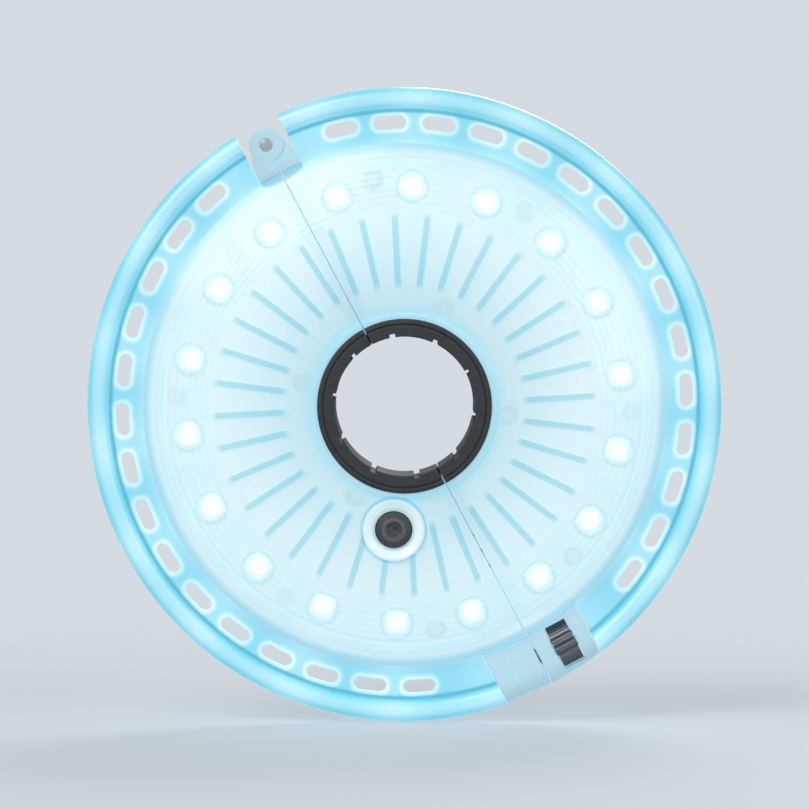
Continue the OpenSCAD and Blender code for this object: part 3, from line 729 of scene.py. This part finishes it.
@dataclass(frozen=True)
class SoftRubber(Finish):
    """Matt rubber with a fine grain, paler where it is rubbed."""

    colour: Colour = (0.026, 0.028, 0.031)
    rubbed: Colour = (0.13, 0.14, 0.15)
    grain: float = 1300.0

    def make(self, net: Net) -> bpy.types.Material:
        """Mixes dust and rub marks into the colour, with the grain as bump.

        Args:
            net: Empty net of the material.

        Returns:
            The finished material.
        """
        soft, edge = net.edges(0.45)
        grain = net.noise(self.grain, 3.0, 0.65)
        pores = net.noise(self.grain * 0.4, 2.0).ramp(0.30, 0.62)
        dust = (net.noise(90, 3.0) * 0.16 + grain.ramp(0.35, 0.75) * 0.14 + edge * 0.55).capped(1.0)
        return net.surface({"IOR": 1.45},
                           {"Base Color": net.mix(dust, self.colour, self.rubbed),
                            "Roughness": 0.52 + grain * 0.30,
                            "Normal": net.bump(grain * 0.5 + pores * 0.5, 0.7, 0.00025, soft)})


@dataclass(frozen=True)
class ButtonRubber(Finish):
    """Button rubber, paler on the ring round its dish, with a dimpled middle for the thumb to find."""

    colour: Colour = (0.022, 0.024, 0.028)
    worn: Colour = (0.21, 0.22, 0.23)
    dish_r: float = 2.14
    dimple_turns: Span = (4.6, 4.0)

    def make(self, net: Net) -> bpy.types.Material:
        """Rubs the dish's edge and the outer edge pale, and lays rows of dimples in the dish.

        Args:
            net: Empty net of the material.

        Returns:
            The finished material.
        """
        x, z, radius = net.button_offset()
        soft, edge = net.edges(0.4)
        ring = (radius - self.dish_r - 0.25).bell(0.4)
        wide, high = self.dimple_turns
        wave = (x * wide).sine() + (x * (wide / 2) + z * high).sine() + (x * (wide / 2) - z * high).sine()
        dimple = wave.ramp(0.4, 2.2) * radius.ramp(self.dish_r - 0.2, self.dish_r - 0.6)
        grain = net.noise(1500, 3.0, 0.6)
        wear = (ring * 0.45 + edge * 0.5 + grain * 0.35).capped(1.0)
        return net.surface({"IOR": 1.5},
                           {"Base Color": net.mix(wear, self.colour, self.worn),
                            "Roughness": 0.40 + grain * 0.3 - ring * 0.08,
                            "Normal": net.bump(grain * 0.15 - dimple * 0.6, 0.7, 0.0003, soft)})


@dataclass(frozen=True)
class Metal(Finish):
    """Bare or anodised metal with the marks of how it was finished."""

    colour: Colour = (0.62, 0.64, 0.66)
    grain: Grain = Grain.TURNED
    rough: float = 0.26

    def make(self, net: Net) -> bpy.types.Material:
        """Stretches noise into tool marks along the metal, or leaves it even where it was blasted.

        Args:
            net: Empty net of the material.

        Returns:
            The finished material.
        """
        stretch = {Grain.TURNED: (400.0, 400.0, 5200.0), Grain.DRAWN: (5000.0, 300.0, 5000.0),
                   Grain.BLASTED: (2600.0, 2600.0, 2600.0)}[self.grain]
        turned = net.take("ShaderNodeMapping", "Vector", None, {"Vector": net.place(), "Scale": stretch})
        marks = net.take("ShaderNodeTexNoise", 0, None, {"Vector": turned, "Scale": 1.0, "Detail": 3.0})
        soft, edge = net.edges(0.3)
        tarnish = net.noise(160, 3.0)
        dull = tuple(c * 0.72 for c in self.colour)
        bright = tuple(min(1.0, c * 1.12) for c in self.colour)
        shade = net.mix((tarnish * 0.5 + marks * 0.3 + edge * 0.4).capped(1.0), dull, bright)
        return net.surface({"Metallic": 1.0},
                           {"Base Color": shade, "Roughness": self.rough + marks * 0.16 - edge * 0.05,
                            "Normal": net.bump(marks, 0.14, 0.00006, soft)})


@dataclass(frozen=True)
class BoardInk(Finish):
    """White solder resist with raised copper tracks that run round and across the board."""

    resist: Colour = (0.80, 0.86, 0.86)
    track: Colour = (0.62, 0.74, 0.74)
    track_pitch: float = 3.2
    spur_off: float = 3.4

    def make(self, net: Net) -> bpy.types.Material:
        """Draws ring tracks at set radii and short cross tracks beside each LED.

        Args:
            net: Empty net of the material.

        Returns:
            The finished material.
        """
        radius, turn = net.polar()
        rings = ((radius / self.track_pitch).part() - 0.5).size().ramp(0.16, 0.10)
        rings = rings * radius.ramp(30.0, 31.0) * radius.ramp(46, 45)
        spurs = (net.beside(radius, turn, ROW.led_step) - self.spur_off).size().ramp(0.7, 0.5)
        tracks = rings.math("MAXIMUM", spurs * radius.ramp(44.5, 45.5))
        speckle = net.noise(1500, 2.0)
        return net.surface({"IOR": 1.5},
                           {"Base Color": net.mix(tracks, self.resist, self.track),
                            "Roughness": 0.38 + speckle * 0.14, "Normal": net.bump(tracks, 0.35, 0.00006)})


@dataclass(frozen=True)
class Emitter(Finish):
    """Phosphor or LED body that shines."""

    colour: Colour = (0.90, 0.97, 1.0)
    strength: float = 3.0

    def make(self, net: Net) -> bpy.types.Material:
        """Varies the light a little, as phosphor grains do.

        Args:
            net: Empty net of the material.

        Returns:
            The finished material.
        """
        grains = net.noise(2400, 2.0)
        light = net.mix(grains, tuple(c * 0.9 for c in self.colour), self.colour)
        return net.surface({"Emission Strength": self.strength},
                           {"Base Color": net.mix(grains, (0.9, 0.86, 0.6), (0.95, 0.93, 0.75)),
                            "Emission Color": light, "Roughness": 0.3 + grains * 0.2})


@dataclass(frozen=True)
class PlainMoulding(Finish):
    """Small moulded, wrapped or foamed piece: one colour with its own mottle and grain."""

    colour: Colour = (0.07, 0.07, 0.08)
    mottle: float = 0.2
    grain: float = 1600.0
    rough: float = 0.45
    metallic: float = 0.0

    def make(self, net: Net) -> bpy.types.Material:
        """Darkens the colour in soft patches and adds the grain as bump.

        Args:
            net: Empty net of the material.

        Returns:
            The finished material.
        """
        patches = net.noise(140, 3.0)
        grain = net.noise(self.grain, 3.0, 0.6)
        dark = tuple(c * (1 - self.mottle) for c in self.colour)
        return net.surface({"IOR": 1.5, "Metallic": self.metallic},
                           {"Base Color": net.mix(patches, dark, self.colour),
                            "Roughness": self.rough + grain * 0.2, "Normal": net.bump(grain, 0.2, 0.00008)})


@dataclass(frozen=True)
class StudioFloor(Finish):
    """Pale painted floor that fades into the background away from the object."""

    colour: Colour = (0.78, 0.82, 0.86)
    fade: Span = (0.38, 0.09)
    cover: float = 0.62

    def make(self, net: Net) -> bpy.types.Material:
        """Fades the floor by its distance from the object's foot.

        Args:
            net: Empty net of the material.

        Returns:
            The finished material.
        """
        far = net.take("ShaderNodeVectorMath", "Value", {"operation": "LENGTH"}, {0: net.place()})
        brush = net.noise(30, 4.0)
        pale = net.mix(brush, tuple(c * 0.98 for c in self.colour), self.colour)
        return net.surface({"IOR": 1.15}, {"Base Color": pale, "Roughness": 0.5 + brush * 0.1,
                                           "Alpha": far.ramp(*self.fade) * self.cover})


@dataclass
class FrontLens:
    """The two domed lenses, with their seals."""

    finish: Finish = LitLens("lit_lens")
    seal: Finish = SoftRubber("silicone_seal", (0.50, 0.58, 0.62), (0.58, 0.66, 0.70))

    def dress(self) -> None:
        """Finishes the lens and seal nodes."""
        dressed(self.finish, "front_lens_a", "front_lens_b")
        dressed(self.seal, "lens_seals_a", "lens_seals_b", "button_seal")


@dataclass
class SlottedRim:
    """The slotted light guide round the edge."""

    finish: Finish = LitRim("lit_rim")

    def dress(self) -> None:
        """Finishes the rim nodes."""
        dressed(self.finish, "rim_plate_a", "rim_plate_b")


@dataclass
class RearShell:
    """The two rear shells, their screws and the hub pads."""

    finish: Finish = MouldedShell("milky_shell")
    pad: Finish = SoftRubber("grained_pad")
    screw: Finish = Metal("plated_screw", (0.60, 0.62, 0.64), Grain.TURNED, 0.22)

    def dress(self) -> None:
        """Finishes the shell, pad and screw nodes."""
        dressed(self.finish, "rear_shell_a", "rear_shell_b")
        dressed(self.pad, "hub_pad_a", "hub_pad_b")
        dressed(self.screw, "shell_screws_a", "shell_screws_b")


@dataclass
class LightEngine:
    """Boards, LEDs and the small parts round them."""

    dome_r: float = 1.92
    dome_h: float = 0.7
    dome_base: float = -0.28
    chip_size: tuple[float, float, float] = (2.1, 1.2, 0.7)
    chip_inset: float = 6.4
    chip_spread: float = 3.2
    crown: float = 0.04
    board: Finish = BoardInk("board_ink")
    package: Finish = Emitter("led_package", (0.55, 0.85, 1.0), 0.35)
    phosphor: Finish = Emitter("led_phosphor", (0.93, 0.98, 1.0), 0.85)
    chips: Finish = PlainMoulding("chip_resistor", (0.62, 0.68, 0.70), 0.3)

    def dome(self) -> Shape:
        """Spherical cap of phosphor: r = R sin v, h = R (cos v - cos V), for v from rim to crown.

        Returns:
            The closed cap, on its own axis.
        """
        ball = (self.dome_r ** 2 + self.dome_h ** 2) / (2 * self.dome_h)
        widest = math.asin(self.dome_r / ball)
        rise = np.linspace(widest, self.crown, 7)
        profile = [(ball * math.sin(v), ball * (math.cos(v) - math.cos(widest))) for v in rise]
        return revolved(profile, 20)

    def build(self) -> None:
        """Puts a phosphor dome in each LED and a pair of chip resistors beside it, nearer the hub."""
        chip_c = ROW.led_c - self.chip_inset
        angles = [(i + 0.5) * ROW.led_step for i in range(ROW.led_count)]
        for half in Half:
            domes = [self.dome().at(ROW.led_c, a, self.dome_base, half) for a in angles]
            built(f"led_domes_{half.letter}", joined(domes), self.phosphor, half.body)
            chips = [block(*self.chip_size).at(chip_c, a + side * self.chip_spread, ROW.board_top, half)
                     for a in angles for side in (-1, 1)]
            built(f"chip_resistors_{half.letter}", joined(chips), self.chips, half.body)

    def dress(self) -> None:
        """Finishes the board and LED nodes."""
        dressed(self.board, "led_board_a", "led_board_b")
        dressed(self.package, "leds_a", "leds_b")


@dataclass
class PowerPack:
    """Cells, foam, leads and the contacts between the halves."""

    pin_r: float = 0.88
    tip_r: float = 0.6
    pin_start: float = -3.85
    tip_end: float = 0.06
    tip_l: float = 0.8
    contact_y: tuple[float, float, float] = (-42.7, -38.7, -34.7)
    contact_z: float = -6.0
    cell: Finish = PlainMoulding("foil_pouch", (0.56, 0.59, 0.62), 0.12, 700.0, 0.30, 0.8)
    foam: Finish = PlainMoulding("cell_foam", (0.10, 0.10, 0.11), 0.3, 2600.0, 0.75)
    lead: Finish = PlainMoulding("wire_sheath", (0.55, 0.05, 0.04), 0.15, 900.0, 0.35)
    block_finish: Finish = PlainMoulding("contact_block", (0.05, 0.05, 0.055), 0.2, 1500.0, 0.5)
    gilt: Finish = Metal("gilt_contact", (0.86, 0.66, 0.30), Grain.TURNED, 0.2)

    def plunger(self) -> Shape:
        """Sprung contact: a barrel, a step, and a tip with a nose of r = R cos v, h = L - R (1 - sin v).

        Returns:
            The closed contact, on its own axis.
        """
        length = self.tip_end - self.pin_start
        nose = [(self.tip_r * math.cos(v), length - self.tip_r * (1 - math.sin(v)))
                for v in np.linspace(0, math.pi / 2 - 0.1, 6)]
        barrel = [(self.pin_r * 0.85, 0.0), (self.pin_r, 0.15), (self.pin_r, length - self.tip_l - 0.15)]
        step = [(self.pin_r * 0.8, length - self.tip_l), (self.tip_r, length - self.tip_l)]
        return revolved(barrel + step + nose, 24)

    def build(self) -> None:
        """Puts round-nosed contacts in place of the plain pins."""
        pins = [self.plunger().along_x(self.pin_start, y, self.contact_z) for y in self.contact_y]
        piece = built("contact_plungers", joined(pins), self.gilt, Half.FIXED.body)
        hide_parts("spring_contacts")

    def dress(self) -> None:
        """Finishes the cell, lead and contact nodes."""
        dressed(self.cell, "battery_cell_a", "battery_cell_b")
        dressed(self.foam, "battery_foam_a", "battery_foam_b")
        dressed(self.lead, "battery_leads_a", "battery_leads_b")
        dressed(self.block_finish, "contact_block_a", "contact_block_b")
        dressed(self.gilt, "contact_pads", "spring_contacts")


@dataclass
class Controls:
    """Push button, its switch, the other board parts and the charging socket with its cap."""

    button: Finish = ButtonRubber("dished_button")
    rubber: Finish = SoftRubber("cap_rubber", (0.034, 0.037, 0.041), (0.17, 0.18, 0.19), 1400.0)
    switch: Finish = PlainMoulding("switch_case", (0.06, 0.06, 0.065))
    plunger: Finish = PlainMoulding("switch_plunger", (0.72, 0.70, 0.62), 0.08)
    chip: Finish = PlainMoulding("chip_case", (0.035, 0.035, 0.04), 0.2)
    can: Finish = Metal("sensor_can", (0.78, 0.62, 0.30), Grain.DRAWN, 0.25)
    socket: Finish = Metal("socket_shell", (0.66, 0.67, 0.69), Grain.DRAWN, 0.3)

    def dress(self) -> None:
        """Finishes the control and charging nodes."""
        dressed(self.button, "mode_button")
        dressed(self.rubber, "charge_cap")
        dressed(self.switch, "tact_switch")
        dressed(self.plunger, "switch_plunger")
        dressed(self.chip, "controller_chip")
        dressed(self.can, "motion_switch")
        dressed(self.socket, "charge_socket", "charge_cap_pin")


@dataclass
class HingeAndClamp:
    """Hinge pin, and the thumb wheel on its threaded stud."""

    stud_y: float = -66.2
    stud_r: float = 2.0
    root_r: float = 1.74
    pitch: float = 0.7
    start: float = -5.2
    thread_end: float = 3.4
    end: float = 11.8
    runout: float = 0.8
    chamfer: float = 0.3
    pin: Finish = Metal("ground_pin", (0.58, 0.60, 0.62), Grain.TURNED, 0.2)
    steel: Finish = Metal("stud_steel", (0.60, 0.61, 0.63), Grain.TURNED, 0.24)
    brass: Finish = Metal("turned_brass", (0.76, 0.58, 0.26), Grain.TURNED, 0.25)
    wheel: Finish = Metal("anodised_wheel", (0.16, 0.17, 0.19), Grain.BLASTED, 0.34)

    def threaded_stud(self) -> Shape:
        """Shaft whose radius follows a helix: a ridge where z / pitch - u / 2 pi is near a whole number.

        Returns:
            The closed stud, on its own axis.
        """
        sides, steps = 36, 132
        threaded, whole = self.thread_end - self.start, self.end - self.start
        turn = np.linspace(0, 2 * math.pi, sides, endpoint=False)[None, :]
        height = np.linspace(0, threaded, steps)[:, None]
        phase = np.abs(np.mod(height / self.pitch - turn / (2 * math.pi), 1.0) - 0.5) * 2
        ridge = np.clip((phase - 0.15) / 0.6, 0, 1)
        fade = np.clip(height / self.runout, 0, 1) * np.clip((height[-1] - height) / self.runout, 0, 1)
        radius = self.root_r + (self.stud_r - self.root_r) * ridge * fade
        shaft = np.array([(self.stud_r, threaded + 0.12), (self.stud_r, whole - self.chamfer),
                          (self.stud_r - self.chamfer, whole)])
        radius = np.concatenate([radius, shaft[:, :1] + 0 * turn])
        height = np.concatenate([height, shaft[:, 1:]])
        grid = np.stack([radius * np.cos(turn), radius * np.sin(turn), height + 0 * turn], axis=-1)
        return tube_grid(grid)

    def build(self) -> None:
        """Puts the threaded stud in place of the plain one."""
        stud = self.threaded_stud().along_x(self.start, self.stud_y, 0.0)
        piece = built("threaded_stud", stud, self.steel, "clamp_screw")
        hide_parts("clamp_stud")

    def dress(self) -> None:
        """Finishes the hinge and clamp nodes."""
        dressed(self.pin, "hinge_pin")
        dressed(self.steel, "clamp_stud")
        dressed(self.brass, "clamp_insert")
        dressed(self.wheel, "thumb_wheel")


@dataclass(frozen=True)
class Lamp:
    """Square area lamp that points at the object."""

    name: str
    place: tuple[float, float, float]
    size: float
    power: float

    def hang(self) -> None:
        """Adds the lamp to the scene."""
        lamp = bpy.data.lights.new(self.name, "AREA")
        lamp.size, lamp.energy = self.size, self.power
        stand(self.name, lamp, self.place)


@dataclass
class Studio:
    """Floor, soft lights and the camera that looks along the axle."""

    floor_z: float = -0.0737
    floor_r: float = 1.2
    distance: float = 1.25
    elevation: float = 2.0
    focal: float = 240.0
    sensor: float = 36.0
    backdrop: Colour = (0.66, 0.71, 0.76)
    ambient: float = 0.28
    lamps: tuple[Lamp, ...] = (Lamp("key_lamp", (-0.75, -1.0, 1.05), 1.1, 13.0),
                               Lamp("fill_lamp", (1.0, -0.9, 0.45), 0.9, 4.0),
                               Lamp("back_lamp", (0.35, 1.1, 0.9), 0.7, 8.0))

    def floor(self) -> None:
        """Makes the floor as a disc of rings: x = r cos u, y = r sin u."""
        turn = np.linspace(0, 2 * math.pi, 64, endpoint=False)
        radius = np.array([0.002, 0.1, 0.3, 0.6, self.floor_r])[:, None]
        points = np.stack([radius * np.cos(turn), radius * np.sin(turn), 0 * radius + 0 * turn], axis=-1)
        shape = tube_grid(points[::-1])
        mesh = bpy.data.meshes.new("studio_floor")
        mesh.from_pydata(shape.points.tolist(), [], shape.faces[:-2] + shape.faces[-1:])
        mesh.materials.append(StudioFloor("studio_floor").material())
        ground = bpy.data.objects.new("studio_floor", mesh)
        ground.location = (0.0, 0.0, self.floor_z)
        bpy.context.scene.collection.objects.link(ground)

    def world(self) -> None:
        """Makes a pale world, dim as a light but plain to the camera and in gloss and glass."""
        world = bpy.data.worlds.new("studio_world")
        bpy.context.scene.world = world
        world.use_nodes = True
        background = world.node_tree.nodes["Background"]
        background.inputs["Color"].default_value = self.backdrop + (1.0,)
        net = Net.of_tree(world.node_tree)
        rays = net.node("ShaderNodeLightPath")
        camera, glossy, through = (Value(net, rays.outputs[f"Is {kind} Ray"])
                                   for kind in ("Camera", "Glossy", "Transmission"))
        strength = (camera + glossy + through).ramp(0.0, 1.0) * (1.0 - self.ambient) + self.ambient
        world.node_tree.links.new(strength.socket, background.inputs["Strength"])

    def camera(self) -> None:
        """Puts the camera in front of the lens, a little above the axle."""
        data = bpy.data.cameras.new("camera")
        data.lens, data.sensor_width = self.focal, self.sensor
        rise = math.radians(self.elevation)
        place = (0.0, -self.distance * math.cos(rise), self.distance * math.sin(rise))
        bpy.context.scene.camera = stand("camera", data, place)

    def build(self) -> None:
        """Sets the stage and the plain view transform."""
        bpy.context.scene.view_settings.view_transform = "Standard"
        self.camera()
        for lamp in self.lamps:
            lamp.hang()
        self.world()
        self.floor()


def main() -> None:
    """Builds the studio, then each sub-assembly's own pieces and finishes."""
    logging.basicConfig(level=logging.INFO, format="%(message)s")
    Studio().build()
    engine, power, clamp = LightEngine(), PowerPack(), HingeAndClamp()
    for part in (engine, power, clamp):
        part.build()
    for part in (FrontLens(), SlottedRim(), RearShell(), engine, power, Controls(), clamp):
        part.dress()


if __name__ == "__main__":
    main()
